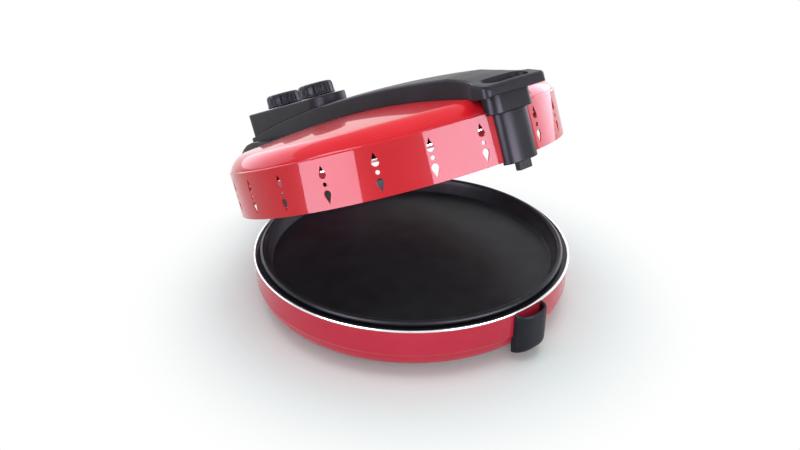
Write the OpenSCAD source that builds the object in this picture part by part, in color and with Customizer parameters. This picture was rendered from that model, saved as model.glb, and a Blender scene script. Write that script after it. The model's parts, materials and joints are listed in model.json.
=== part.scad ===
// Round countertop pizza cooker with a hinged lid, a lift-out pan and two dials.
// Origin: centre of the round base on the worktop. Z is up, the handle points to -Y, the hinge is at +Y.
// The lid is drawn closed in its own helpers and stored open by lid_open degrees.

/* [Base] */
// Outer radius of the base at its top edge
base_r = 170; // [165:1:174]
// Height of the base's top edge above the worktop
rim_z = 52.5; // [50:0.5:56]
// Height of the upright upper part of the base wall
upright_h = 25; // [22:1:28]
// How far the lower wall curves inwards
tuck_in = 14; // [10:1:18]
// Thickness of the painted sheet metal
sheet = 1.2; // [0.8:0.1:1.6]
// Height of the bright trim bead above the base wall
trim_h = 2.7; // [2:0.1:3.4]
// How far the trim bead stands out past the wall
trim_out = 1; // [0.6:0.1:1.4]
// Width of the trim bead
trim_w = 2.8; // [2.4:0.1:3.2]

/* [Feet] */
// Height of the feet under the bottom plate
foot_h = 6.8; // [6:0.2:8]
// Radius of a foot
foot_r = 20; // [14:1:22]
// How far the feet's centres lie inside the base wall
foot_inset = 41; // [39:1:55]
// Angle of the front feet from the handle
foot_front_a = 62; // [50:1:70]
// Angle of the rear feet from the handle
foot_rear_a = 150; // [140:1:155]

/* [Pan] */
// How far the pan's wall leans out from its floor to its rim
pan_slope = 9; // [8:0.5:14]
// Depth of the pan
pan_depth = 14; // [10:1:15]
// How far the rolled rim's centre line lies inside the base wall
pan_inset = 9; // [8:0.2:11]
// Thickness of the rolled rim
pan_bead = 6; // [5:0.2:6.4]
// Gap between the rolled rim and the deck it rests on
pan_seat_gap = 0.3; // [0.1:0.1:0.5]

/* [Heating elements] */
// How far both ring elements lie inside the base wall
element_inset = 58; // [53:1:72]
// Thickness of the element tube
element_d = 6.6; // [6:0.1:8]
// How far the lower element lies below the pan's floor
element_drop = 12.9; // [11.5:0.1:13.9]
// How far the upper element hangs below the liner's ceiling
element_hang = 16.8; // [13.8:0.2:19.8]

/* [Lid] */
// How far the lid's band stands out past the base wall
band_out = 3.5; // [2:0.5:5]
// Height of the lid's band
band_h = 46.6; // [44:0.2:49]
// Gap between the closed lid and the trim bead
lid_gap = 1.8; // [1:0.1:3]
// Height of the dome's steep shoulder
shoulder_h = 14.2; // [12:0.2:16]
// Width of the dome's steep shoulder
shoulder_w = 17; // [14:1:20]
// Rise of the shallow crown above the shoulder
crown_h = 10.5; // [9:0.5:12]
// Number of vent columns on each side of the handle
vents_per_side = 10; // [4:1:10]
// Angle of the first vent column from the handle
vent_first_a = 11.7; // [11:0.1:13]
// Angle between vent columns
vent_step_a = 16.1; // [12:0.1:16.2]
// Height of the middle vent dot above the band's lower edge
vent_mid_z = 22.2; // [20:0.2:25]
// Radius of a teardrop vent's round end
vent_r = 3.4; // [2.5:0.1:4]
// Length of a teardrop vent
vent_len = 12.4; // [9:0.2:14]
// Radius of the middle vent dot
vent_dot_r = 2; // [1:0.1:2.4]
// Distance from the middle dot to the round ends of the vents
vent_gap = 5.2; // [5:0.1:6]

/* [Handle] */
// Half width of the strap over the lid
strap_hw = 25; // [24:0.5:28]
// How far the strap's crown stands above the dome's
strap_rise = 17.7; // [16:0.1:20]
// How far the strap drops from its crown to its ends
strap_sag = 12.6; // [11:0.2:14]
// How far the strap runs on behind the hinge axis
strap_tail = 62; // [59:1:65]
// Half width of the front grip plate
plate_hw = 39; // [34:1:44]
// How far the grip plate stands out in front of the band
plate_out = 17.5; // [15.5:0.5:22]
// Height of the grip plate's underside above the band's top
plate_rise = 12.4; // [11:0.2:14]
// Thickness of the grip plate's front edge
plate_t = 9.5; // [8:0.5:10.5]
// Wall of the plastic mouldings
wall = 2.6; // [2:0.1:3.2]
// Half width of the front leg and cup
leg_hw = 19.5; // [17:0.5:21]
// How far the front leg stands out from the band
leg_out = 10; // [9:0.5:12]
// How far the cup stands out from the base
cup_out = 12.5; // [11:0.5:14]
// Half width of the ribbed plug under the leg
plug_hw = 8; // [7:0.5:9]
// How far the front leg reaches below the band
leg_drop = 3; // [1:0.2:3.2]
// How far the plug reaches below the leg
plug_drop = 8; // [6:0.5:10]

/* [Controls] */
// How far the control housing rises above the strap's crown
housing_rise = 9.2; // [8.4:0.2:14]
// How far the housing's sides lie inside the strap's
housing_inset = 0.6; // [0.2:0.1:1.2]
// How far the housing's round front end reaches in front of the hinge axis
housing_front = 95; // [92:1:100]
// How far the housing's rear wall lies behind the hinge axis
housing_rear = 56; // [53:1:58]
// Radius of both dials
knob_r = 21.4; // [18:0.1:22]
// Height of both dials
knob_h = 15.6; // [12:0.2:18]
// Number of lobes around a dial
knob_lobes = 14; // [8:1:18]
// How far the temperature dial lies in front of the hinge axis
heat_front = 81; // [78:1:84]
// How far the timer dial lies in front of the hinge axis
timer_front = 4; // [2:1:10]
// Radius of the dial shafts
shaft_r = 3; // [2.5:0.1:3.5]

/* [Hinge] */
// How far the hinge axis lies behind the base wall
hinge_back = 31; // [30:0.5:35]
// How far the hinge axis lies below the closed lid's edge
hinge_drop = 3; // [2:0.5:4]
// Radius of the hinge pin
pin_r = 5; // [4:0.2:6]
// Bore of the hinge pin
pin_bore_r = 3; // [2:0.2:3.2]
// Running clearance of pins and shafts
run_clear = 0.05; // [0.03:0.01:0.08]
// Radius of the lid's middle knuckle
knuckle_r = 11; // [10:0.5:11.4]
// Radius of the base's hinge ears
ear_r = 12; // [11:0.5:12.5]
// Half width of the lid's middle knuckle
knuckle_hw = 24; // [20:1:26]
// Thickness of a hinge ear
ear_t = 13.6; // [8:0.2:14]
// Side gap between knuckle and ear
side_gap = 0.4; // [0.3:0.1:0.6]
// How far the hinge arm stands out past the hinge ears
arm_over = 2; // [1:0.2:4]
// How far the lid stands open in degrees
lid_open = 22.5; // [10:0.5:30]

/* [Screws] */
// Shank radius of the screws
screw_r = 1.5; // [1:0.1:1.8]
// Head radius of the screws
screw_head_r = 3; // [2.4:0.1:3.2]
// Head height of the screws
screw_head_h = 2; // [1.5:0.1:2.4]
// Clearance around a screw shank
screw_clear = 0.1; // [0.1:0.05:0.3]

/* [Hidden] */
$fn = 96;

red = [0.80, 0.06, 0.10];
rose = [0.86, 0.20, 0.32];
black = [0.10, 0.11, 0.13];
dark = [0.05, 0.05, 0.06];
steel = [0.72, 0.73, 0.75];
bright = [0.88, 0.88, 0.90];
ceramic = [0.92, 0.90, 0.84];
brass = [0.78, 0.62, 0.30];
rubber = [0.06, 0.06, 0.06];
e = 0.01;

// Base levels
floor_z = foot_h + sheet;
floor_r = base_r - tuck_in;
trim_top = rim_z + trim_h;
deck_z = rim_z + 1.1;
deck_r = base_r + trim_out - trim_w;
pan_rim_r = base_r - pan_inset;
pan_floor_r = pan_rim_r - pan_slope;
rim_to_well = 0.6;
well_r = pan_rim_r - rim_to_well;
seat_in = floor_r - 18;
foot_ring = base_r - foot_inset;
plate_r = foot_ring + foot_r + 1;

// Pan levels
rim_bead_z = deck_z + pan_seat_gap + pan_bead / 2;
pan_low_z = rim_bead_z - pan_depth;

// Well under the pan
ledge_z = pan_low_z - sheet - 5.9;
ledge_in = well_r - 10.4;
flange_r = well_r - 0.4;
dish_r = ledge_in - 12;
element_r = base_r - element_inset;
element_low_z = pan_low_z - element_drop;
dish_z = element_low_z - 9.2;

// Lid levels
lid_z = trim_top + lid_gap;
band_r = base_r + band_out;
dome_r = band_r - 2;
dome_z = band_h;
dome_top = dome_z + shoulder_h + crown_h;
liner_rim_z = dome_z - 13.6;
liner_top_z = dome_z + 11.4;
liner_flat_r = band_r - 53.5;
liner_foot_r = band_r - 15.5;
liner_out_r = band_r - sheet - 0.2;
element_up_z = liner_top_z - sheet - element_hang;
element_end = 14;
element_end_y = sqrt(element_r * element_r - element_end * element_end);
thermostat_h = 16;
timer_h = 21.6;
leg_top = dome_z - 4;
riser_top = dome_z + 23.4;
weld = 0.4;
gland_r = 7;
bush_r = 5;
low_gap_a = 15;
low_end_x = element_r * sin(low_gap_a);
low_end_y = element_r * cos(low_gap_a);
clip_angles = [-90, 30, 150];
bush_y = dish_r - 4;
block_y = base_r - 12;
block_t = 5;
lead_r = 2.6;
lead_z = element_low_z - 4;
hinge_y = base_r + hinge_back;
hinge_z = lid_z - hinge_drop;
ear_out = knuckle_hw + side_gap + ear_t;
ear_room = 1.4;
arm_hw = ear_out + arm_over;
arm_top_z = dome_z + 7.4;
base_gap = 0.2;

// Handle and control levels
strap_crown_y = 8;
strap_z = dome_top + strap_rise;
strap_span = base_r + 30;
strap_rear_y = hinge_y + strap_tail;
skirt_z = dome_z + 1.4;
plate_front_y = -band_r - plate_out;
plate_low_z = dome_z + plate_rise;
plate_top_z = plate_low_z + plate_t;
plate_back_y = 5.5 - band_r;
strap_front_y = plate_front_y + 61;
flare_y = plate_front_y + 51;
flare_len = 32;
dome_gap = 0.3;
slot_y = plate_front_y + 14;
slot_hw = plate_hw - 22;
slot_r = 9;
corner_r = 6;
housing_z = strap_z + housing_rise;
housing_hw = strap_hw - housing_inset;
housing_front_y = hinge_y - housing_front;
housing_rear_y = hinge_y + housing_rear;
heat_y = hinge_y - heat_front;
timer_y = hinge_y - timer_front;
knob_gap = 0.5;
knob_z = housing_z + knob_gap;
shaft_top = knob_z + knob_h - 5;
unit_top = housing_z - wall;
timer_hw = 18;
heat_hw = 16;
heat_hl = 15;
plug_t = 5.2;
plug_front = -band_r - leg_out + wall + 2.2;
plug_low = -leg_drop - plug_drop;
plug_top = 0.5;

// Cup
cup_top = rim_z - 0.2;
cup_floor = rim_z - 18.5;
cup_grow = 0.5;

// Places of the screws
cup_screw_x = 9;
cup_screw_z = rim_z - 23.5;
bracket_screw_z = rim_z - 16.5;
arm_screw_x = 15;
arm_screw_z = [12, 26];
leg_screw_z = [8, 25];
beam_screw_y = [-0.65 * base_r, -0.24 * base_r, 0.24 * base_r];
housing_screw_y = [hinge_y - 42, hinge_y + 35];
bracket_screw_x = [8 - ear_out, -12, 12, ear_out - 8];
reflector_screw_r = well_r - 5.4;
boss_r = 4;

function rev(list) = [for (k = [len(list) - 1:-1:0]) list[k]];

// Height of the strap's top at a place along it
function strap_top(y) = strap_z - strap_sag * pow((y - strap_crown_y) / strap_span, 2);

// Quarter of a rounded curve from the upright wall into the floor
function tuck(off) = [for (t = [0:6:90])
  [floor_r + off + tuck_in * cos(t), floor_z - off + (rim_z - upright_h - floor_z) * (1 - sin(t))]];

// Outline of the dome's outside from its foot to its crown
function dome_side(off) = concat(
  [for (t = [0:7.5:90]) [dome_r - shoulder_w + (shoulder_w - off) * pow(cos(t), 4 / 3),
    dome_z + (shoulder_h - off) * pow(sin(t), 4 / 3)]],
  [for (k = [0.9:-0.1:0]) [(dome_r - shoulder_w) * k, dome_z + shoulder_h - off
    + crown_h * (1 - k * k)]]);

// Height of the dome's outside at a distance from the centre, on the crown
function crown_z(r) = dome_z + shoulder_h + crown_h * (1 - pow(r / (dome_r - shoulder_w), 2));

// The strap's top line from its rear end to where the grip plate begins
function strap_line(drop) = [for (y = [strap_rear_y:-16:strap_front_y]) [y, strap_top(y) - drop]];

// Half-round outline that stands out towards -Y
function d_points(hw, back, front) = concat([[hw, back]],
  [for (t = [0:9:180]) [hw * sign(cos(t)) * pow(abs(cos(t)), 0.72),
    -base_r + 3 - (-base_r + 3 - front) * pow(sin(t), 0.72)]], [[-hw, back]]);

// Puts the closed lid's helpers at their stored, open place
module opened() {
  translate([0, hinge_y, hinge_z]) rotate([-lid_open, 0, 0])
    translate([0, -hinge_y, lid_z - hinge_z]) children();
}

// Side outline in Y and Z, drawn from -x to x
module side(x) {
  rotate([90, 0, 90]) translate([0, 0, -x]) linear_extrude(2 * x) children();
}

// Screw along +Z with its head below z = 0
module screw(len) {
  translate([0, 0, -screw_head_h]) cylinder(r = screw_head_r, h = screw_head_h);
  translate([0, 0, -e]) cylinder(r = screw_r, h = len + e);
}

module screw_hole(len) {
  translate([0, 0, -1]) cylinder(r = screw_r + screw_clear, h = len + 1);
}

// Space inside the base wall's outer face, grown by off
module base_body(off) {
  rotate_extrude() polygon(concat([[0, rim_z + 30], [base_r + off, rim_z + 30]],
    tuck(off), [[0, floor_z - off]]));
}

module ring_tube(r, d, gap_a) {
  rotate(90 + gap_a) rotate_extrude(angle = 360 - 2 * gap_a) translate([r, 0]) circle(d = d);
}

// Space under the dome and inside the band, grown by off
module lid_body(off) {
  rotate_extrude() polygon(concat([[0, -20], [band_r + off, -20], [band_r + off, dome_z + off]],
    dome_side(-off)));
}

module foot_places() {
  for (a = [-foot_rear_a, -foot_front_a, foot_front_a, foot_rear_a])
    rotate(a) translate([0, -foot_ring, 0]) children();
}

// Base
module base_shell() {
  color(rose) difference() {
    rotate_extrude() polygon(concat([[base_r, rim_z]], tuck(0), [[seat_in, floor_z]],
      [[seat_in, floor_z + sheet]], rev(tuck(-sheet)), [[base_r - sheet, rim_z]]));
    for (x = [-cup_screw_x, cup_screw_x])
      translate([x, -base_r + 8, cup_screw_z]) rotate([90, 0, 0]) screw_hole(16);
    for (x = bracket_screw_x)
      translate([x, base_r - 14, bracket_screw_z]) rotate([-90, 0, 0]) screw_hole(24);
    gland_place() translate([0, 0, -20]) cylinder(r = gland_r + screw_clear, h = 40);
    translate([0, base_r - 10, lead_z]) rotate([-90, 0, 0]) cylinder(r = lead_r + 0.4, h = 22);
  }
}

module trim_ring() {
  color(bright) rotate_extrude() polygon([[deck_r, rim_z], [base_r + trim_out, rim_z],
    [base_r + trim_out, trim_top - 0.9], [base_r + trim_out - 0.6, trim_top - 0.2],
    [base_r + trim_out - 1.2, trim_top], [deck_r + 0.8, trim_top], [deck_r, trim_top - 0.8]]);
}

module base_deck() {
  color(dark) difference() {
    rotate_extrude() polygon([[deck_r, deck_z], [deck_r, deck_z - 1.3], [well_r + 1.2, deck_z - 1.3],
      [well_r + 1.2, ledge_z], [ledge_in, ledge_z], [ledge_in, ledge_z + sheet], [well_r, ledge_z + sheet],
      [well_r, deck_z]]);
    reflector_screw_places() screw_hole(8);
  }
}

module reflector_screw_places() {
  for (a = [30:60:330]) rotate(a) translate([reflector_screw_r, 0, ledge_z - sheet]) children();
}

module lower_reflector() {
  color(bright) difference() {
    rotate_extrude() polygon([[0, dish_z], [dish_r, dish_z], [ledge_in - 1, ledge_z - sheet],
      [flange_r, ledge_z - sheet], [flange_r, ledge_z], [ledge_in - 2, ledge_z],
      [dish_r - 1, dish_z + sheet], [0, dish_z + sheet]]);
    for (x = [-low_end_x, low_end_x])
      translate([x, bush_y - 4, element_low_z]) rotate([-90, 0, 0])
        cylinder(r = bush_r + screw_clear, h = 30);
    reflector_screw_places() screw_hole(8);
  }
}

module reflector_screws() {
  color(steel) reflector_screw_places() screw(4);
}

module lower_heating_element() {
  color(steel) {
    translate([0, 0, element_low_z]) ring_tube(element_r, element_d, low_gap_a);
    for (x = [-low_end_x, low_end_x]) translate([x, low_end_y, element_low_z]) {
      sphere(d = element_d + weld);
      rotate([-90, 0, 0]) cylinder(d = element_d, h = block_y - low_end_y);
    }
  }
}

// Post of height h that cups a ring element from below
module element_cradle(h) {
  difference() {
    translate([-5, -4, 0]) cube([10, 8, h]);
    translate([-element_r, 0, h]) rotate_extrude() translate([element_r, 0])
      circle(d = element_d + 2 * run_clear);
  }
}

module lower_element_clips() {
  color(steel) for (a = clip_angles) rotate(a) translate([element_r, 0, dish_z + sheet])
    element_cradle(element_low_z - dish_z - sheet);
}

module lower_terminals() {
  color(ceramic) for (x = [-low_end_x, low_end_x])
    translate([x, bush_y, element_low_z]) rotate([-90, 0, 0]) difference() {
      cylinder(r = bush_r, h = block_y - bush_y);
      translate([0, 0, -1]) cylinder(r = element_d / 2 + run_clear, h = 40);
    }
}

module base_terminal_block() {
  w = low_end_x + 4;
  low = element_low_z - 6;
  color(ceramic) translate([-w, block_y, low]) cube([2 * w, block_t, ledge_z - 2 - low]);
}

module supply_lead() {
  color(ceramic) translate([0, block_y + block_t, lead_z]) rotate([-90, 0, 0]) cylinder(r = lead_r, h = 14);
}

module bottom_plate() {
  color(steel) difference() {
    translate([0, 0, foot_h]) cylinder(r = plate_r, h = sheet);
    foot_places() translate([0, 0, foot_h - 1]) cylinder(r = screw_r + screw_clear, h = 6);
    for (a = [0:60:300]) rotate(a) translate([0.4 * base_r, -3, foot_h - 1]) cube([0.22 * base_r, 6, 4]);
  }
}

module feet() {
  color(rubber) foot_places() difference() {
    union() {
      cylinder(r1 = foot_r - 1.5, r2 = foot_r, h = 2);
      translate([0, 0, 2]) cylinder(r = foot_r, h = foot_h - 2);
    }
    translate([0, 0, -1]) cylinder(r = screw_head_r + 1.5, h = 1 + screw_head_h + 1);
    cylinder(r = screw_r + screw_clear, h = foot_h + 1);
  }
}

module foot_screws() {
  color(steel) foot_places() translate([0, 0, screw_head_h + 1]) screw(foot_h);
}

module cup_side() {
  polygon(concat([[-0.6 * base_r, cup_top], [-base_r - cup_out, cup_top]],
    [for (t = [0:10:90]) [-base_r - cup_out + 10 * (1 - cos(t)), floor_z + 9 * (1 - sin(t))]],
    [[-0.6 * base_r, floor_z]]));
}

module front_cup() {
  color(black) difference() {
    intersection() {
      linear_extrude(80) polygon(d_points(leg_hw + cup_grow, 30 - base_r, -base_r - cup_out));
      side(60) cup_side();
    }
    base_body(base_gap);
    translate([0, 0, cup_floor]) linear_extrude(40)
      polygon(d_points(leg_hw + cup_grow - wall, 30 - base_r, -base_r - cup_out + wall));
    for (x = [-cup_screw_x, cup_screw_x])
      translate([x, -base_r + 8, cup_screw_z]) rotate([90, 0, 0]) screw_hole(16);
  }
}

module cup_screws() {
  color(steel) for (x = [-cup_screw_x, cup_screw_x])
    translate([x, -base_r + sheet + 0.6, cup_screw_z]) rotate([90, 0, 0]) screw(9);
}

module hinge_axis(len, r) {
  translate([-len / 2, hinge_y, hinge_z]) rotate([0, 90, 0]) cylinder(r = r, h = len);
}

module hinge_bracket() {
  color(black) difference() {
    union() {
      difference() {
        union() {
          hinge_axis(2 * ear_out, ear_r);
          side(ear_out) polygon([[base_r - 20, rim_z - 6.5], [base_r + 4, rim_z - 2.5],
            [hinge_y - 0.708 * ear_r, hinge_z + 0.708 * ear_r], [hinge_y, hinge_z],
            [hinge_y + 3, hinge_z - ear_r + 0.4], [base_r + 12, floor_z + 8], [base_r - 20, floor_z + 4]]);
        }
        hinge_axis(2 * (knuckle_hw + side_gap), 80);
      }
      side(ear_out) polygon([[base_r - 20, rim_z - 6.5], [base_r + 8, rim_z - 6.5],
        [base_r + 12, rim_z - 18.5], [base_r + 8, floor_z + 8], [base_r - 20, floor_z + 4]]);
    }
    base_body(base_gap);
    hinge_axis(200, pin_r + run_clear);
    for (x = bracket_screw_x)
      translate([x, base_r - 14, bracket_screw_z]) rotate([-90, 0, 0]) screw_hole(24);
    translate([0, base_r - 10, lead_z]) rotate([-90, 0, 0]) cylinder(r = lead_r + 0.4, h = 18);
  }
}

module bracket_screws() {
  color(steel) for (x = bracket_screw_x)
    translate([x, sqrt(pow(base_r - sheet, 2) - pow(abs(x) + screw_head_r, 2)) - 0.1, bracket_screw_z])
      rotate([-90, 0, 0]) screw(9);
}

module hinge_pin() {
  color(steel) difference() {
    union() {
      hinge_axis(2 * ear_out + 3, pin_r);
      translate([-ear_out - 2.7, hinge_y, hinge_z]) rotate([0, 90, 0]) cylinder(r = pin_r + 2, h = 2.4);
    }
    hinge_axis(200, pin_bore_r);
  }
}

module pin_clip() {
  color(steel) translate([ear_out + 0.2, hinge_y, hinge_z]) rotate([0, 90, 0]) difference() {
    cylinder(r = pin_r + 2, h = 1.2);
    translate([0, 0, -1]) cylinder(r = pin_r + run_clear, h = 4);
  }
}

module hinge_lead_sleeve() {
  color(ceramic) hinge_axis(2 * ear_out + 10, pin_bore_r - 0.2);
}

module gland_place() {
  rotate(-28) translate([0, base_r, rim_z - 14]) rotate([-90, 0, 0]) children();
}

module cord_gland() {
  color(rubber) gland_place() difference() {
    union() {
      translate([0, 0, -sheet - 3.4]) cylinder(r = gland_r, h = 12);
      translate([0, 0, 0.3]) cylinder(r = gland_r + 2.5, h = 2.5);
      translate([0, 0, -sheet - 3.4]) cylinder(r = gland_r + 2.5, h = 3);
    }
    translate([0, 0, -10]) cylinder(r = 3.6, h = 30);
  }
}

// Pan
module bake_pan() {
  color(dark) rotate_extrude() union() {
    polygon([[0, pan_low_z - sheet], [pan_floor_r, pan_low_z - sheet],
      [pan_rim_r - pan_bead / 2 + 0.9, rim_bead_z], [pan_rim_r - pan_bead / 2, rim_bead_z + 0.6],
      [pan_floor_r - 0.8, pan_low_z], [0, pan_low_z]]);
    translate([pan_rim_r, rim_bead_z]) circle(d = pan_bead);
  }
}

// Lid shells
// Vent hole with its round end at the origin and its point towards +Y
module teardrop() {
  tip = vent_len - vent_r;
  t = acos(vent_r / tip);
  root = vent_r - 0.1;
  cylinder(r = vent_r, h = 12);
  linear_extrude(12) polygon([[root * sin(t), root * cos(t)], [0.5, tip - 1], [0, tip],
    [-0.5, tip - 1], [-root * sin(t), root * cos(t)]]);
}

module vent_column() {
  translate([0, -band_r + 6, vent_mid_z]) rotate([90, 0, 0]) {
    cylinder(r = vent_dot_r, h = 12);
    translate([0, vent_gap + vent_r, 0]) teardrop();
    translate([0, -vent_gap - vent_r, 0]) rotate(180) teardrop();
  }
}

module lid_band() {
  color(red) opened() difference() {
    rotate_extrude() polygon([[band_r - sheet, 0], [band_r, 0], [band_r, band_h], [band_r - 8, band_h],
      [band_r - 8, band_h - sheet], [band_r - sheet, band_h - sheet]]);
    for (s = [-1, 1]) for (k = [0:vents_per_side - 1])
      rotate(s * (vent_first_a + vent_step_a * k)) vent_column();
    for (z = arm_screw_z) for (x = [-arm_screw_x, arm_screw_x])
      translate([x, band_r - 14, z]) rotate([-90, 0, 0]) screw_hole(20);
    for (z = leg_screw_z) translate([0, -band_r + 8, z]) rotate([90, 0, 0]) screw_hole(14);
  }
}

module lid_dome() {
  color(red) opened() difference() {
    rotate_extrude() polygon(concat(dome_side(0), rev(dome_side(sheet))));
    for (x = [-element_end, element_end])
      translate([x, element_end_y, dome_z]) cylinder(r = bush_r, h = 40);
    for (y = beam_screw_y) translate([0, y, dome_z]) cylinder(r = screw_r + screw_clear, h = 40);
  }
}

module lid_liner() {
  color(bright) opened() difference() {
    rotate_extrude() polygon([[0, liner_top_z], [liner_flat_r, liner_top_z], [liner_foot_r, liner_rim_z + 4],
      [liner_out_r, liner_rim_z + 1], [liner_out_r, liner_rim_z], [liner_foot_r - 1, liner_rim_z + 2.6],
      [liner_flat_r - 1, liner_top_z - sheet], [0, liner_top_z - sheet]]);
    for (x = [-element_end, element_end])
      translate([x, element_end_y, liner_top_z - 9]) cylinder(r = bush_r, h = 20);
  }
}

module upper_heating_element() {
  color(steel) opened() {
    translate([0, 0, element_up_z]) ring_tube(element_r, element_d, asin(element_end / element_r));
    for (x = [-element_end, element_end]) translate([x, element_end_y, element_up_z]) {
      sphere(d = element_d + weld);
      cylinder(d = element_d, h = riser_top - element_up_z);
    }
  }
}

module upper_element_clips() {
  h = liner_top_z - sheet - element_up_z;
  color(steel) opened() for (a = clip_angles) rotate(a) translate([element_r, 0, liner_top_z - sheet])
    mirror([0, 0, 1]) element_cradle(h);
}

module upper_terminals() {
  color(ceramic) opened() for (x = [-element_end, element_end])
    translate([x, element_end_y, liner_top_z - 4]) difference() {
      cylinder(r = bush_r - 0.3, h = riser_top - liner_top_z + 4);
      translate([0, 0, -1]) cylinder(r = element_d / 2 + run_clear, h = 30);
    }
}

module lid_leads() {
  color(ceramic) opened() for (x = [-element_end, element_end])
    translate([x, element_end_y, riser_top]) cylinder(r = 1.6, h = unit_top - thermostat_h - riser_top);
}

// Handle
module strap_side(drop) {
  polygon(concat([[strap_rear_y, skirt_z]], strap_line(drop),
    [[plate_front_y + 39, plate_top_z + 9.9 - drop], [plate_front_y + 19, plate_top_z + 4.7 - drop],
    [plate_front_y, plate_top_z - drop], [plate_front_y, plate_low_z], [plate_back_y + 14, plate_low_z],
    [plate_back_y + 22, skirt_z]]));
}

module strap_plan() {
  flare = plate_hw - strap_hw;
  right = concat([for (t = [90:-30:0]) [strap_hw - corner_r * (1 - cos(t)),
    strap_rear_y - corner_r * (1 - sin(t))]],
    [for (t = [0:10:90]) [plate_hw - flare * cos(t), flare_y - flare_len * sin(t)]],
    [for (t = [0:15:90]) [plate_hw - corner_r * (1 - cos(t)), plate_front_y + corner_r * (1 - sin(t))]]);
  polygon(concat(right, [for (p = rev(right)) [-p[0], p[1]]]));
}

module handle_beam() {
  color(black) opened() {
    difference() {
      intersection() {
        linear_extrude(strap_z + 20) strap_plan();
        side(plate_hw + 20) strap_side(0);
      }
      lid_body(dome_gap);
      intersection() {
        translate([wall - strap_hw, strap_front_y + 10, 0])
          cube([2 * (strap_hw - wall), strap_rear_y - wall - strap_front_y - 10, strap_z]);
        side(plate_hw + 20) strap_side(wall);
      }
      unit_box(timer_y, timer_hw + 1, timer_hw + 1, skirt_z);
      unit_box(heat_y, heat_hw + 1, heat_hl + 1, skirt_z);
      translate([0, 0, plate_low_z + 2]) linear_extrude(30) finger_slot();
      for (y = housing_screw_y)
        translate([0, y, skirt_z]) cylinder(r = screw_r + screw_clear, h = 40);
    }
    for (y = beam_screw_y) beam_boss(y);
  }
}

// Screw boss that hangs from the strap's top down to the dome
module beam_boss(y) {
  low = crown_z(abs(y) - boss_r) + dome_gap;
  translate([0, y, low]) difference() {
    cylinder(r = boss_r, h = strap_top(y) - wall - low + 0.4);
    translate([0, 0, -1]) cylinder(r = screw_r + screw_clear, h = 10);
  }
}

module finger_slot() {
  for (x = [-slot_hw, slot_hw]) translate([x, slot_y]) circle(r = slot_r);
  translate([-slot_hw, slot_y - slot_r]) square([2 * slot_hw, 2 * slot_r]);
}

module handle_collar() {
  back = plate_back_y - 0.2;
  front = -band_r - leg_out;
  hw = leg_hw + 0.5;
  color(black) opened() difference() {
    translate([0, 0, leg_top]) linear_extrude(plate_low_z - leg_top) {
      translate([-hw, front]) square([2 * hw, back - front]);
      translate([-hw - corner_r, front + corner_r])
        square([2 * (hw + corner_r), back - front - corner_r]);
      for (x = [-hw, hw]) translate([x, front + corner_r]) circle(r = corner_r);
    }
    lid_body(dome_gap);
  }
}

module front_leg() {
  front = -band_r - leg_out;
  color(black) opened() {
    difference() {
      translate([0, 0, -leg_drop]) linear_extrude(leg_top + leg_drop)
        polygon(d_points(leg_hw, 30 - base_r, front));
      lid_body(dome_gap);
      translate([0, 0, wall - leg_drop]) linear_extrude(leg_top + leg_drop - 2 * wall)
        polygon(d_points(leg_hw - wall, 30 - base_r, front + wall));
      translate([-plug_hw - 0.1, plug_front - 0.1, -leg_drop - 1]) cube([2 * plug_hw + 0.2, 20, wall + 2]);
    }
    for (z = leg_screw_z) difference() {
      translate([0, -band_r - dome_gap, z]) rotate([90, 0, 0]) cylinder(r = boss_r, h = leg_out - wall + 0.2);
      translate([0, -band_r + 8, z]) rotate([90, 0, 0]) screw_hole(14);
    }
  }
}

module latch_plug() {
  color(dark) opened() difference() {
    translate([-plug_hw, plug_front, plug_low]) cube([2 * plug_hw, plug_t, plug_top - plug_low]);
    for (x = [-plug_hw + 1.8:3.1:plug_hw])
      translate([x, plug_front, plug_low - 1]) cylinder(r = 0.8, h = plug_drop + 1);
  }
}

module leg_screws() {
  color(steel) opened() for (z = leg_screw_z)
    translate([0, -band_r + sheet + 0.1, z]) rotate([90, 0, 0]) screw(7);
}

// Outline of the arm behind the lid, in Y and height above the closed lid's lower edge
module arm_side(inset) {
  n = inset;
  y = hinge_y;
  z = arm_top_z;
  polygon([[band_r - 25, 2 + n], [band_r - 25, z - 4 - n], [y - 25, z + 3 - n], [y - 15, z + 6 - n],
    [y + 35, z + 10 - n], [y + 49 - 0.4 * n, z + 8 - n], [y + 61 - 0.7 * n, z + 3.5 - 0.8 * n],
    [y + 69 - n, z - 1 - 0.5 * n], [y + 72 - n, z - 8], [y + 71 - n, z - 20], [y + 63 - n, 20 + 0.7 * n],
    [y + 46 - 0.7 * n, 6 + n], [y + 25, n - 3], [y + 13 + n, n - 1], [y - 11, 12 + n],
    [y - 17 - 0.4 * n, 2 + n]]);
}

// Hollow in the arm, open towards the lid's band
module arm_pocket(x0) {
  difference() {
    translate([x0, 0, 0]) rotate([90, 0, 90]) linear_extrude(arm_hw - strap_hw - 2 * wall) arm_side(wall);
    translate([0, 0, -lid_z]) hinge_axis(200, ear_r + ear_room + wall);
  }
}

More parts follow.
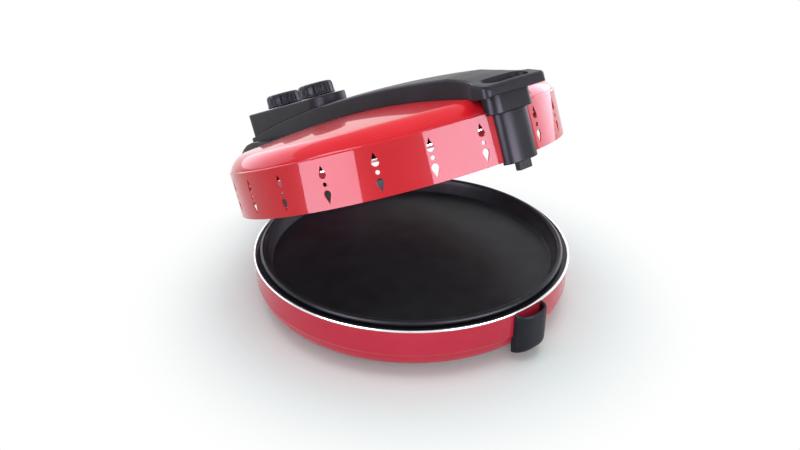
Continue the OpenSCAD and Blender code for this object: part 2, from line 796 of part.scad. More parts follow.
module hinge_arm() {
  color(black) opened() translate([0, 0, -lid_z]) difference() {
    union() {
      difference() {
        side(arm_hw) translate([0, lid_z]) arm_side(0);
        hinge_axis(200, ear_r + ear_room);
      }
      hinge_axis(2 * knuckle_hw, knuckle_r);
      side(knuckle_hw) polygon([[hinge_y, hinge_z], [hinge_y + 20, hinge_z + 2],
        [hinge_y + 20, hinge_z + 26], [hinge_y - 14, hinge_z + 26]]);
    }
    hinge_axis(200, pin_r + run_clear);
    translate([0, 0, lid_z]) {
      lid_body(dome_gap);
      translate([-strap_hw - base_gap, band_r - 33, skirt_z - base_gap])
        cube([2 * (strap_hw + base_gap), strap_rear_y + base_gap - band_r + 33, 60]);
      translate([-12, hinge_y + 5, 14]) cube([24, 46, 60]);
      arm_pocket(-arm_hw + wall);
      arm_pocket(strap_hw + wall);
      for (z = arm_screw_z) for (x = [-arm_screw_x, arm_screw_x])
        translate([x, band_r - 14, z]) rotate([-90, 0, 0]) screw_hole(28);
    }
  }
}

module arm_screws() {
  color(steel) opened() for (z = arm_screw_z) for (x = [-arm_screw_x, arm_screw_x])
    translate([x, sqrt(pow(band_r - sheet, 2) - pow(abs(x) + screw_head_r, 2)) - 0.1, z])
      rotate([-90, 0, 0]) screw(12);
}

module beam_screws() {
  color(steel) opened() for (y = beam_screw_y)
    translate([0, y, crown_z(abs(y) + screw_head_r) - sheet - 0.1]) screw(8);
}

// Controls
module housing_plan(inset) {
  hw = housing_hw - inset;
  translate([0, housing_front_y]) circle(r = hw);
  rear = housing_rear_y - inset;
  translate([-hw, housing_front_y]) square([2 * hw, rear - housing_front_y - corner_r]);
  translate([corner_r - hw, rear - corner_r - 1]) square([2 * (hw - corner_r), corner_r + 1]);
  for (x = [corner_r - hw, hw - corner_r]) translate([x, rear - corner_r]) circle(r = corner_r);
}

module control_housing() {
  color(black) opened() {
    difference() {
      translate([0, 0, skirt_z]) linear_extrude(housing_z - skirt_z) housing_plan(0);
      side(strap_hw + 5) polygon(concat([[strap_rear_y, 0]], strap_line(0), [[strap_front_y, 0]]));
      linear_extrude(unit_top) housing_plan(wall);
      for (y = [heat_y, timer_y]) translate([0, y, unit_top - 1]) cylinder(r = shaft_r + 1, h = wall + 2);
    }
    for (y = housing_screw_y) difference() {
      translate([0, y, strap_top(y) + 0.3]) cylinder(r = 3.6, h = unit_top - strap_top(y));
      translate([0, y, skirt_z]) cylinder(r = screw_r + screw_clear, h = strap_top(y) - skirt_z + 8);
    }
  }
}

module housing_screws() {
  color(steel) opened() for (y = housing_screw_y)
    translate([0, y, strap_top(y + screw_head_r + 8) - wall - 0.4]) screw(9);
}

// Block under the housing's top around a dial's axis
module unit_box(y, hw, hl, z0) {
  translate([-hw, y - hl, z0]) cube([2 * hw, 2 * hl, unit_top - z0]);
}

module timer_unit() {
  color(steel) opened() difference() {
    unit_box(timer_y, timer_hw, timer_hw, unit_top - timer_h);
    translate([0, timer_y, unit_top - 11]) cylinder(r = shaft_r + run_clear, h = 20);
  }
}

module timer_bell() {
  bell_y = housing_screw_y[0];
  z = unit_top - timer_h;
  color(brass) opened() {
    translate([0, bell_y, z - 9]) difference() {
      cylinder(r = 11, h = 7);
      translate([0, 0, -1]) cylinder(r = 10, h = 7);
    }
    translate([0, bell_y, z - 3]) cylinder(r = 2, h = 3);
    translate([-5, bell_y - 5, z - 1]) cube([10, timer_y - timer_hw - bell_y + 9, 1]);
  }
}

module thermostat_unit() {
  color(steel) opened() difference() {
    unit_box(heat_y, heat_hw, heat_hl, unit_top - thermostat_h);
    translate([0, heat_y, unit_top - 11]) cylinder(r = shaft_r + run_clear, h = 20);
  }
}

module dial(y) {
  opened() translate([0, y, knob_z]) difference() {
    rotate_extrude() polygon([[0, 0], [knob_r, 0], [knob_r, knob_h - 3.6], [knob_r - 0.6, knob_h - 2.2],
      [knob_r - 2.2, knob_h - 1], [knob_r - 5, knob_h - 0.3], [knob_r - 8, knob_h], [0, knob_h]]);
    for (k = [0:knob_lobes - 1]) rotate(360 / knob_lobes * (k + 0.5))
      translate([knob_r + 0.6, 0, 1.8]) cylinder(r = 1.9, h = knob_h);
    translate([0, 0, knob_h - 0.8]) cylinder(r = knob_r - 8.5, h = 2);
    translate([-0.6, 2 - knob_r, knob_h - 2]) cube([1.2, 6, 3]);
    translate([0, 0, -1]) cylinder(r = shaft_r + run_clear, h = knob_h - 4);
  }
}

module dial_shaft(y) {
  opened() translate([0, y, unit_top - 10]) cylinder(r = shaft_r, h = shaft_top - unit_top + 10);
}

module timer_knob() {
  color(black) dial(timer_y);
}

module timer_shaft() {
  color(steel) dial_shaft(timer_y);
}

module temperature_knob() {
  color(black) dial(heat_y);
}

module temperature_shaft() {
  color(steel) dial_shaft(heat_y);
}

base_shell();
trim_ring();
base_deck();
lower_reflector();
lower_heating_element();
lower_element_clips();
lower_terminals();
base_terminal_block();
bottom_plate();
feet();
foot_screws();
reflector_screws();
supply_lead();
front_cup();
cup_screws();
hinge_bracket();
bracket_screws();
hinge_pin();
pin_clip();
hinge_lead_sleeve();
cord_gland();
bake_pan();
lid_band();
lid_dome();
lid_liner();
upper_heating_element();
upper_element_clips();
upper_terminals();
lid_leads();
handle_beam();
handle_collar();
front_leg();
latch_plug();
leg_screws();
hinge_arm();
arm_screws();
beam_screws();
control_housing();
housing_screws();
timer_unit();
timer_bell();
thermostat_unit();
timer_knob();
timer_shaft();
temperature_knob();
temperature_shaft();
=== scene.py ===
# %% [markdown]
# # A round countertop pizza cooker
# The cooker is a shallow red pan-shaped base, a black pan that lifts out, and a red lid on a hinge.
# A black strap runs over the lid, from a housing with two dials at the back to a grip plate in front.
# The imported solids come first. They fix every place and every joint, and the surfaces made here lie on
# them.

import json
import math

import bpy
import numpy as np
from mathutils import Matrix, Vector
from mathutils.geometry import delaunay_2d_cdt


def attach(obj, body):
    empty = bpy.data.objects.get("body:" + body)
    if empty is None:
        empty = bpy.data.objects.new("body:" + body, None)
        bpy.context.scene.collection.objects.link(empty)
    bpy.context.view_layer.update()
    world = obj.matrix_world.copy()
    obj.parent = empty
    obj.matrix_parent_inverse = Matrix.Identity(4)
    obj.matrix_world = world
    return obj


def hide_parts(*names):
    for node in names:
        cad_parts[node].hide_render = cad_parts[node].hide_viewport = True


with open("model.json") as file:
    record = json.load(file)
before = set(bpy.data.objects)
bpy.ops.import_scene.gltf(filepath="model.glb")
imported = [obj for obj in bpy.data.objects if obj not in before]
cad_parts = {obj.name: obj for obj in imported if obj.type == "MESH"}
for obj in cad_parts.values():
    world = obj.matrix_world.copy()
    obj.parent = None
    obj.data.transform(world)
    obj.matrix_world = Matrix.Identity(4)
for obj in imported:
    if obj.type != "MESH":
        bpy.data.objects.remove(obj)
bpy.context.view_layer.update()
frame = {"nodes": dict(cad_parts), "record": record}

# %% [markdown]
# ## Sizes
# Lengths are in millimetres while a shape is worked out, and become metres when the mesh is made.
# The lid is worked out closed and level, with height 0 at the lower edge of its red band. The last step
# turns it about the hinge to the angle at which it stands open.

# %% Sizes and the lid's place
BASE_R, RIM_Z, FLOOR_Z, FLOOR_R, TUCK_Z = 170.0, 52.5, 8.0, 156.0, 27.5
SHEET = 1.2
HINGE_Y, HINGE_Z, LID_Z, LID_OPEN = 201.0, 54.0, 57.0, math.radians(22.5)
BAND_R, BAND_H = 173.5, 46.6
DOME_R, SHOULDER_W, SHOULDER_H, CROWN_H = 171.5, 17.0, 14.2, 10.5
STRAP_HW, PLATE_HW, STRAP_Z, STRAP_SAG = 25.0, 39.0, 89.0, 12.6
PLATE_Y, PLATE_Z, PLATE_LOW = -191.0, 68.5, 59.0
STRAP_END, SKIRT_Z, STRAP_CROWN_Y, STRAP_SPAN = 263.0, 48.0, 8, 200
BEND_YS, BEND_ZS = (-191, -172, -152, -128), (PLATE_Z, 73.2, 78.4, 83.17)
HOUSING_END, HOUSING_FRONT_Y, HOUSING_HW, HOUSING_Z = 257.0, 106, 24.4, 98.2


def open_lid(points):
    """Turns closed-lid points about the hinge axis: y and z rotate by the opening angle, x stays."""
    p = np.asarray(points, float)
    c, s = math.cos(LID_OPEN), math.sin(LID_OPEN)
    y, z = p[:, 1] - HINGE_Y, p[:, 2] + LID_Z - HINGE_Z
    return np.column_stack([p[:, 0], HINGE_Y + c * y + s * z, HINGE_Z - s * y + c * z])


def strap_top(y):
    """Height of the strap's top: a parabola to the grip plate's bend, then a nearly straight fall."""
    y = np.asarray(y, float)
    curve = STRAP_Z - STRAP_SAG * ((y - STRAP_CROWN_Y) / STRAP_SPAN) ** 2
    return np.where(y > BEND_YS[-1], curve, np.interp(y, BEND_YS, BEND_ZS))


def dome_height(r):
    """Height of the dome at radius r: a steep superellipse shoulder, then a shallow parabola."""
    r = np.asarray(r, float)
    inner = DOME_R - SHOULDER_W
    t = np.clip((r - inner) / SHOULDER_W, 0, 1)
    shoulder = SHOULDER_H * np.clip(1 - t ** 1.5, 0, 1) ** (2 / 3)
    crown = SHOULDER_H + CROWN_H * (1 - (r / inner) ** 2)
    return BAND_H + np.where(r < inner, crown, shoulder)


print("dome heights:", dome_height([0, 100, 154.5, 165, 171.5]).round(1))

# %% [markdown]
# ## Camera
# The camera stands to the front left, a little above the lid, where the outlines of the trim line, the
# pan and the lid agree best with the photograph. It looks at the middle of the trim line.

# %% Camera
AZ, EL, DIST, LENS_PX = math.radians(-41.06), math.radians(27.76), 858.61, 779.17
ASIDE, UPWARD, TRIM_LINE_Z = -12.23, 17.96, 54
SENSOR_W, IMAGE_W = 36, 800
back = Vector((math.sin(AZ) * math.cos(EL), -math.cos(AZ) * math.cos(EL), math.sin(EL)))
right = Vector((math.cos(AZ), math.sin(AZ), 0))
above = back.cross(right)
eye = (right * ASIDE + above * UPWARD + back * DIST + Vector((0, 0, TRIM_LINE_Z))) / 1000
camera_data = bpy.data.cameras.new("camera")
camera_data.sensor_width = SENSOR_W
camera_data.lens = SENSOR_W * LENS_PX / IMAGE_W
camera = bpy.data.objects.new("camera", camera_data)
camera.matrix_world = Matrix((
    (right.x, above.x, back.x, eye.x), (right.y, above.y, back.y, eye.y),
    (right.z, above.z, back.z, eye.z), (0, 0, 0, 1)))
bpy.context.scene.collection.objects.link(camera)
bpy.context.scene.camera = camera
print("lens", round(camera_data.lens, 2), "mm, eye", [round(v, 3) for v in eye])

# %% [markdown]
# ## Mesh helpers
# Nearly every part here is a grid: rows of points along one direction, columns along the other.
# One helper turns such a grid into four-sided faces, and another puts faces and points into a mesh,
# merges the points that meet, and lets edges sharper than an angle stay crisp.


# %% Mesh helpers
def grid_faces(rows, columns, wrap_rows=False, wrap_columns=False, start=0):
    """Four-sided faces of a grid of rows x columns points, joined end to end where wrapped."""
    i = np.arange(rows if wrap_rows else rows - 1)[:, None]
    j = np.arange(columns if wrap_columns else columns - 1)[None, :]
    a = i * columns + j
    b = i * columns + (j + 1) % columns
    c = ((i + 1) % rows) * columns + (j + 1) % columns
    d = ((i + 1) % rows) * columns + j
    return (np.stack([a, b, c, d], -1).reshape(-1, 4) + start).tolist()


def make_piece(name, points, faces, body, slot, finish, stands_for=(), crisp=35, merge=True):
    """Mesh from points in millimetres, riding on a body, wearing one finish."""
    mesh = bpy.data.meshes.new(name)
    mesh.from_pydata((np.asarray(points, float) / 1000).tolist(), [], faces)
    piece = bpy.data.objects.new(name, mesh)
    bpy.context.scene.collection.objects.link(piece)
    bpy.context.view_layer.objects.active = piece
    if merge:
        bpy.ops.object.select_all(action="DESELECT")
        piece.select_set(True)
        bpy.ops.object.mode_set(mode="EDIT")
        bpy.ops.mesh.select_all(action="SELECT")
        bpy.ops.mesh.remove_doubles(threshold=2e-6)
        bpy.ops.mesh.normals_make_consistent(inside=False)
        bpy.ops.object.mode_set(mode="OBJECT")
    mesh.shade_smooth()
    mesh.set_sharp_from_angle(angle=math.radians(crisp))
    mesh.materials.append(finish)
    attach(piece, body)
    if stands_for:
        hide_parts(*stands_for)
    print(name, "faces", len(mesh.polygons))
    return piece


def revolve(profile, steps=192, closed=True):
    """Turns an (r, z) outline about the vertical axis: x = r cos a, y = r sin a for evenly spaced a."""
    profile = np.asarray(profile, float)
    a = np.linspace(0, 2 * math.pi, steps, endpoint=False)[:, None]
    r, z = profile[None, :, 0], profile[None, :, 1]
    points = np.stack([r * np.cos(a), r * np.sin(a), np.broadcast_to(z, (steps, len(profile)))], -1)
    return points.reshape(-1, 3), grid_faces(steps, len(profile), True, closed)


def arc(cx, cz, rx, rz, start, end, count):
    """Points on an ellipse round (cx, cz), between two angles in degrees."""
    t = np.radians(np.linspace(start, end, count))
    return np.column_stack([cx + rx * np.cos(t), cz + rz * np.sin(t)])


print("a grid of 3 x 4 points has", len(grid_faces(3, 4)), "faces")

# %% [markdown]
# ## Finishes
# The red shells are sprayed enamel under a clear gloss, so they get a coloured base and a hard coat. The
# lacquer is never dead flat: a slow ripple bends its reflections a little, and fine dust dulls the gloss
# in patches. The mouldings are black plastic with a fine spark-eroded grain. One group makes the
# ripple and dust and one makes the grain, and each finish sets its own amounts.


# %% Shared effects
def set_inputs(node, **values):
    """Sets a node's plain inputs by name, with _ in place of a space."""
    for label, value in values.items():
        node.inputs[label.replace("_", " ")].default_value = value


def new_group(name, inputs, outputs):
    """Empty node group with float inputs and named outputs."""
    group = bpy.data.node_groups.new(name, "ShaderNodeTree")
    for label, value in inputs:
        socket = group.interface.new_socket(name=label, in_out="INPUT", socket_type="NodeSocketFloat")
        socket.default_value = value
    for label, kind in outputs:
        group.interface.new_socket(name=label, in_out="OUTPUT", socket_type=kind)
    return group, group.nodes.new("NodeGroupInput"), group.nodes.new("NodeGroupOutput")


def lacquer_group():
    """Slow ripple as a normal, and a roughness that dust raises in patches."""
    group, given, out = new_group(
        "lacquer", [("Ripple", 0.1), ("Ripple Size", 60), ("Gloss", 0.1), ("Dust", 0.1)],
        [("Normal", "NodeSocketVector"), ("Roughness", "NodeSocketFloat")])
    n, link = group.nodes, group.links.new
    place = n.new("ShaderNodeTexCoord")
    ripple = n.new("ShaderNodeTexNoise")
    set_inputs(ripple, Detail=1)
    link(place.outputs["Object"], ripple.inputs["Vector"])
    link(given.outputs["Ripple Size"], ripple.inputs["Scale"])
    bump = n.new("ShaderNodeBump")
    set_inputs(bump, Distance=0.0004)
    link(given.outputs["Ripple"], bump.inputs["Strength"])
    link(ripple.outputs["Fac"], bump.inputs["Height"])
    link(bump.outputs["Normal"], out.inputs["Normal"])
    dust = n.new("ShaderNodeTexNoise")
    set_inputs(dust, Scale=22, Detail=6)
    link(place.outputs["Object"], dust.inputs["Vector"])
    spread = n.new("ShaderNodeMapRange")
    set_inputs(spread, From_Min=0.45, From_Max=0.75)
    link(dust.outputs["Fac"], spread.inputs["Value"])
    amount = n.new("ShaderNodeMath")
    amount.operation = "MULTIPLY_ADD"
    link(spread.outputs["Result"], amount.inputs[0])
    link(given.outputs["Dust"], amount.inputs[1])
    link(given.outputs["Gloss"], amount.inputs[2])
    link(amount.outputs["Value"], out.inputs["Roughness"])
    return group


def grain_group():
    """Fine moulded grain as a normal, and a roughness that varies slowly over the part."""
    group, given, out = new_group(
        "moulded_grain", [("Grain", 0.2), ("Grain Size", 1500), ("Roughness", 0.4), ("Rubbed", 0.1)],
        [("Normal", "NodeSocketVector"), ("Roughness", "NodeSocketFloat")])
    n, link = group.nodes, group.links.new
    place = n.new("ShaderNodeTexCoord")
    cells = n.new("ShaderNodeTexVoronoi")
    link(place.outputs["Object"], cells.inputs["Vector"])
    link(given.outputs["Grain Size"], cells.inputs["Scale"])
    bump = n.new("ShaderNodeBump")
    set_inputs(bump, Distance=0.00008)
    link(given.outputs["Grain"], bump.inputs["Strength"])
    link(cells.outputs["Distance"], bump.inputs["Height"])
    link(bump.outputs["Normal"], out.inputs["Normal"])
    slow = n.new("ShaderNodeTexNoise")
    set_inputs(slow, Scale=30, Detail=4)
    link(place.outputs["Object"], slow.inputs["Vector"])
    centred = n.new("ShaderNodeMath")
    centred.operation = "SUBTRACT"
    centred.inputs[1].default_value = 0.5
    link(slow.outputs["Fac"], centred.inputs[0])
    amount = n.new("ShaderNodeMath")
    amount.operation = "MULTIPLY_ADD"
    link(centred.outputs["Value"], amount.inputs[0])
    link(given.outputs["Rubbed"], amount.inputs[1])
    link(given.outputs["Roughness"], amount.inputs[2])
    link(amount.outputs["Value"], out.inputs["Roughness"])
    return group


LACQUER, GRAIN = lacquer_group(), grain_group()
print("groups:", LACQUER.name, GRAIN.name)


# %% Materials
def new_finish(name, colour, metallic=0.0, specular=0.5):
    """Material with a Principled shader whose plain values sit on its own sockets."""
    finish = bpy.data.materials.new(name)
    finish.use_nodes = True
    shader = finish.node_tree.nodes["Principled BSDF"]
    set_inputs(shader, Base_Color=(*colour, 1), Metallic=metallic, Specular_IOR_Level=specular)
    return finish, shader


def with_group(finish, shader, group, **amounts):
    """Places a group in the material, sets its inputs and wires its normal and roughness."""
    node = finish.node_tree.nodes.new("ShaderNodeGroup")
    node.node_tree = group
    set_inputs(node, **amounts)
    link = finish.node_tree.links.new
    link(node.outputs["Normal"], shader.inputs["Normal"])
    link(node.outputs["Roughness"], shader.inputs["Roughness"])
    return finish


def mottled(finish, shader, dark, light, scale, stretch=(1, 1, 1)):
    """Base colour that drifts between two close tones with a noise in object space."""
    n, link = finish.node_tree.nodes, finish.node_tree.links.new
    place, turn = n.new("ShaderNodeTexCoord"), n.new("ShaderNodeMapping")
    set_inputs(turn, Scale=stretch)
    noise, ramp = n.new("ShaderNodeTexNoise"), n.new("ShaderNodeValToRGB")
    set_inputs(noise, Scale=scale, Detail=5)
    for stop, position, tone in zip(ramp.color_ramp.elements, (0.35, 0.65), (dark, light)):
        stop.position, stop.color = position, (*tone, 1)
    link(place.outputs["Object"], turn.inputs["Vector"])
    link(turn.outputs["Vector"], noise.inputs["Vector"])
    link(noise.outputs["Fac"], ramp.inputs["Fac"])
    link(ramp.outputs["Color"], shader.inputs["Base Color"])


def enamel(name, dark, light, gloss=0.09, coat=0.85):
    """Sprayed colour under a clear coat."""
    finish, shader = new_finish(name, light, specular=0.05)
    set_inputs(shader, Coat_Weight=coat, Coat_Roughness=0.03, Coat_IOR=1.33)
    mottled(finish, shader, dark, light, 14)
    return with_group(finish, shader, LACQUER, Ripple=0.12, Ripple_Size=55, Gloss=0.28, Dust=gloss)


def plastic(name, dark, light, roughness=0.38, grain=0.25, size=1400):
    """Moulded plastic, ceramic or rubber with a fine grain."""
    finish, shader = new_finish(name, light, specular=0.15)
    mottled(finish, shader, dark, light, 40)
    return with_group(finish, shader, GRAIN, Grain=grain, Grain_Size=size, Roughness=roughness, Rubbed=0.16)


def metal(name, dark, light, roughness=0.28, grain=0.1, size=900, stretch=(1, 1, 1), scale=60):
    """Bare metal with a faint grain."""
    finish, shader = new_finish(name, light, metallic=1.0)
    mottled(finish, shader, dark, light, scale, stretch)
    return with_group(finish, shader, GRAIN, Grain=grain, Grain_Size=size, Roughness=roughness, Rubbed=0.12)


FINISH = {
    "red_enamel": enamel("red_enamel", (0.68, 0.010, 0.020), (0.75, 0.014, 0.028)),
    "black_plastic": plastic("black_plastic", (0.013, 0.014, 0.020), (0.019, 0.020, 0.028), 0.37),
    "dial_black": plastic("dial_black", (0.018, 0.019, 0.027), (0.026, 0.028, 0.038), 0.3),
    "plug_grey": plastic("plug_grey", (0.022, 0.022, 0.024), (0.034, 0.034, 0.037), 0.5),
    "trim_chrome": metal("trim_chrome", (0.80, 0.80, 0.82), (0.90, 0.90, 0.91), 0.12, 0.02),
    "deck_black": enamel("deck_black", (0.006, 0.007, 0.010), (0.010, 0.011, 0.015), 0.1, 0.6),
    "pan_black": plastic("pan_black", (0.012, 0.013, 0.016), (0.020, 0.021, 0.026), 0.34, 0.15, 2200),
    "black_rubber": plastic("black_rubber", (0.010, 0.010, 0.010), (0.018, 0.018, 0.018), 0.7, 0.4),
    "bright_sheet": metal("bright_sheet", (0.62, 0.63, 0.65), (0.74, 0.75, 0.77), 0.22, 0.08),
    "plain_steel": metal("plain_steel", (0.46, 0.47, 0.49), (0.60, 0.61, 0.63), 0.36, 0.12),
    "element_steel": metal("element_steel", (0.10, 0.10, 0.11), (0.20, 0.19, 0.19), 0.5, 0.2),
    "screw_steel": metal("screw_steel", (0.52, 0.52, 0.54), (0.66, 0.66, 0.68), 0.3, 0.08),
    "white_ceramic": plastic("white_ceramic", (0.74, 0.72, 0.66), (0.84, 0.82, 0.77), 0.5, 0.3, 2600),
    "lead_sleeve": plastic("lead_sleeve", (0.62, 0.60, 0.54), (0.76, 0.74, 0.68), 0.8, 0.7, 1800),
    "bell_brass": metal("bell_brass", (0.55, 0.38, 0.14), (0.72, 0.53, 0.22), 0.25, 0.06),
}
# The base wall's red is paler and bluer than the lid's: the colour is a painted sheen, the pink reflection of
# the white floor laid into the paint.
BASE_RED_PAINTED_SHEEN = enamel("base_red_painted_sheen", (0.66, 0.026, 0.060), (0.72, 0.034, 0.074))
slot_of = {entry["node"]: entry["material_slot"] for entry in frame["record"]["subparts"]}
for node, thing in frame["nodes"].items():
    thing.data.materials.clear()
    thing.data.materials.append(FINISH[slot_of[node]])
print("finishes:", len(FINISH), "on", len(slot_of), "nodes")

# %% [markdown]
# ## Base
# The base wall is one spun sheet: upright at the top, then a crease, and from it a curve in to the floor.
# It is a closed (r, z) outline turned about the axis, with the sheet's thickness in it. The curve is a
# parabola through two ends and one control point. The trim is a bright rolled bead.

# %% Base wall, trim and deck
TUCK_BEND_R, TUCK_END_R, SEAT_R, MID_Z = 160.4, 152.0, 138, 40
TRIM_IN_R, WELL_R, LEDGE_R, LEDGE_LOW_Z, LEDGE_TOP_Z = 168.2, 161.6, 150, 35.8, 37
t = np.linspace(0, 1, 28)[:, None]
tuck_out = ((1 - t) ** 2 * [BASE_R, TUCK_Z] + 2 * t * (1 - t) * [TUCK_BEND_R, FLOOR_Z]
            + t ** 2 * [TUCK_END_R, FLOOR_Z])
tuck_in = arc(FLOOR_R - SHEET, TUCK_Z + 0.2, BASE_R - FLOOR_R, TUCK_Z - FLOOR_Z - SHEET, -90, 0, 28)
wall_line = np.vstack([[[BASE_R - 0.5, RIM_Z - 0.1], [BASE_R, RIM_Z - 0.6], [BASE_R, MID_Z]], tuck_out,
                       [[SEAT_R, FLOOR_Z], [SEAT_R, FLOOR_Z + SHEET]], tuck_in,
                       [[BASE_R - SHEET, MID_Z], [BASE_R - SHEET, RIM_Z - 0.1]]])
# The base wall wears the red with the painted floor-reflection sheen.
make_piece("base_wall", *revolve(wall_line), "base", "red_enamel", BASE_RED_PAINTED_SHEEN, ["base_shell"], crisp=20)

bead = np.vstack([arc(170.0, 53.9, 1.0, 1.3, -80, 90, 12), arc(169.2, 54.0, 1.0, 1.2, 90, 180, 8),
                  [[TRIM_IN_R, 52.6]]])
make_piece("trim_bead", *revolve(bead), "base", "trim_chrome", FINISH["trim_chrome"], ["trim_ring"])

deck_line = np.vstack([[[TRIM_IN_R, 53.6], [TRIM_IN_R, 52.3], [WELL_R, 52.3], [WELL_R, LEDGE_LOW_Z]],
                       [[LEDGE_R, LEDGE_LOW_Z], [LEDGE_R, LEDGE_TOP_Z], [159.6, LEDGE_TOP_Z]],
                       arc(159.6, 37.8, 0.8, 0.8, -90, 0, 4), arc(161.4, 52.6, 1.0, 1.0, 180, 90, 6)])
make_piece("pan_deck", *revolve(deck_line), "base", "deck_black", FINISH["deck_black"], ["base_deck"])

# %% [markdown]
# ## Pan
# The pan is pressed from thin sheet: a flat floor, a sloping wall and an edge rolled into a bead. Its
# outline is the floor line, the wall and a full circle for the bead, with a small radius at each bend.

# %% Pan
PAN_Z, BEAD_Z, BEAD_R = 42.9, 56.9, 161.0
PAN_FLAT_R = 150
pan_line = np.vstack([[[r, PAN_Z - SHEET] for r in (0, 40, 100, PAN_FLAT_R)],
                      arc(151, PAN_Z + 1.6, 2.8, 2.8, -90, -28, 6),
                      [[157.8, 54.4]],
                      arc(BEAD_R, BEAD_Z, 3, 3, -140, 178, 30),
                      [[156.4, 53.6]], arc(150.6, PAN_Z + 2.2, 2.2, 2.2, -28, -90, 6),
                      [[100, PAN_Z], [40, PAN_Z], [0, PAN_Z]]])
make_piece("pan", *revolve(pan_line, closed=False), "pan", "pan_black", FINISH["pan_black"], ["bake_pan"])

# %% [markdown]
# ## Lid shell
# The vented band is a strip that is unrolled flat, cut, and rolled up again. Each vent column is three
# holes in a flat panel: a triangulation of the panel keeps the holes' outlines as edges, the triangles
# inside the holes are left out, and the panel is then wrapped onto the cylinder.

# %% Vent panel
VENT_FIRST, VENT_STEP, VENT_COUNT = 11.7, 16.1, 10
VENT_MID, VENT_R, VENT_LEN, VENT_GAP, DOT_R = 22.2, 3.4, 12.4, 5.2, 2.0
RIM_ROUND, VENT_MARGIN = 1.6, 1.2
ROUND_Z = BAND_H - RIM_ROUND


def drop_outline(sign):
    """Teardrop hole: a circle, and from its two tangent points straight lines to a blunt point."""
    tip = VENT_LEN - VENT_R
    edge = math.degrees(math.acos(VENT_R / tip))
    t = np.radians(np.linspace(90 + edge, 450 - edge, 22))
    ring = np.column_stack([VENT_R * np.cos(t), VENT_R * np.sin(t)])
    nose = np.array([[0.45, tip - 1.0], [0.0, tip - 0.3], [-0.45, tip - 1.0]])
    return np.vstack([ring, nose]) * [1, sign] + [0, VENT_MID + sign * (VENT_GAP + VENT_R)]


def panel_mesh(half, columns=18, rows=14, holes=True):
    """Flat panel (arc length, height) cut by the three holes; returns its points and triangles."""
    xs, zs = np.linspace(-half, half, columns + 1), np.linspace(0, ROUND_Z, rows + 1)
    loops = [np.vstack([np.column_stack([xs[:-1], 0 * xs[:-1]]),
                        np.column_stack([0 * zs[:-1] + half, zs[:-1]]),
                        np.column_stack([xs[:0:-1], 0 * xs[:0:-1] + ROUND_Z]),
                        np.column_stack([0 * zs[:0:-1] - half, zs[:0:-1]])])]
    if holes:
        t = np.radians(np.arange(0, 360, 20))
        dot = np.column_stack([DOT_R * np.cos(t), DOT_R * np.sin(t) + VENT_MID])
        loops += [dot, drop_outline(1), drop_outline(-1)]
    inner = np.array([(x, z) for x in xs[1:-1] for z in zs[1:-1]])
    if holes:
        clear = np.min([np.min(np.hypot(*(inner[:, None] - loop[None]).transpose(2, 0, 1)), 1)
                        for loop in loops[1:]], 0) > VENT_MARGIN
        inner = inner[clear & ~inside_any(inner, loops[1:])]
    points, edges = [], []
    for loop in loops:
        first = len(points)
        points += loop.tolist()
        edges += [(first + k, first + (k + 1) % len(loop)) for k in range(len(loop))]
    points += inner.tolist()
    out = delaunay_2d_cdt([Vector(p) for p in points], edges, [], 0, 1e-5)
    flat, triangles = np.array([tuple(p) for p in out[0]]), np.array(out[2])
    if holes:
        triangles = triangles[~inside_any(flat[triangles].mean(1), loops[1:])]
    return flat, triangles


def inside_any(points, loops):
    """True for the points inside any loop, by counting the crossings of a ray to the right."""
    hit = np.zeros(len(points), bool)
    for loop in loops:
        a, b = loop[None], np.roll(loop, -1, 0)[None]
        x, z = points[:, :1], points[:, 1:]
        spans = (a[..., 1] > z) != (b[..., 1] > z)
        rise = np.where(b[..., 1] == a[..., 1], 1, b[..., 1] - a[..., 1])
        cross = a[..., 0] + (z - a[..., 1]) / rise * (b[..., 0] - a[..., 0])
        hit |= (spans & (x < cross)).sum(1) % 2 == 1
    return hit


# %% Band
def wrap(flat, middle):
    """Rolls panel points onto the band: the angle is arc length over radius, counted from the front."""
    a = math.radians(middle) + flat[:, 0] / BAND_R
    return np.column_stack([BAND_R * np.sin(a), -BAND_R * np.cos(a), flat[:, 1]])


points, faces, edge_angles = [], [], []
front_half = VENT_FIRST - VENT_STEP / 2
rear_half = 180 - VENT_FIRST - VENT_STEP * (VENT_COUNT - 0.5)
panels = [(s * (VENT_FIRST + VENT_STEP * k), VENT_STEP / 2, 18, True)
          for s in (-1, 1) for k in range(VENT_COUNT)]
panels += [(0, front_half, 6, False), (180, rear_half, 20, False)]
for middle, half, columns, holes in panels:
    flat, triangles = panel_mesh(math.radians(half) * BAND_R, columns, holes=holes)
    faces += (triangles + len(points)).tolist()
    points += wrap(flat, middle).tolist()
    edge_angles += [middle + x for x in np.linspace(-half, half, columns + 1)[:-1]]
a = np.radians(np.sort(np.array(edge_angles) % 360))[:, None]
top_line = np.vstack([arc(BAND_R - RIM_ROUND, ROUND_Z, RIM_ROUND, RIM_ROUND, 0, 90, 7),
                      [[BAND_R - 8, BAND_H]]])
top = np.stack([top_line[None, :, 0] * np.sin(a), -top_line[None, :, 0] * np.cos(a),
                np.broadcast_to(top_line[None, :, 1], (len(a), len(top_line)))], -1)
faces += grid_faces(len(a), len(top_line), True, start=len(points))
points += top.reshape(-1, 3).tolist()
band = make_piece("vented_band", open_lid(points), faces, "lid", "red_enamel", FINISH["red_enamel"],
                  ["lid_band"], crisp=30)
thick = band.modifiers.new("sheet", "SOLIDIFY")
thick.thickness, thick.offset, thick.use_even_offset = SHEET / 1000, -1, True

# %% [markdown]
# The triangles round the holes are long and thin, and smooth shading would smear across them. So the
# sheet's thickness is applied, the rims are made crisp again, and every corner that lies on the band's wall
# takes the exact direction of the cylinder: the part of its place that is square to the lid's axis.

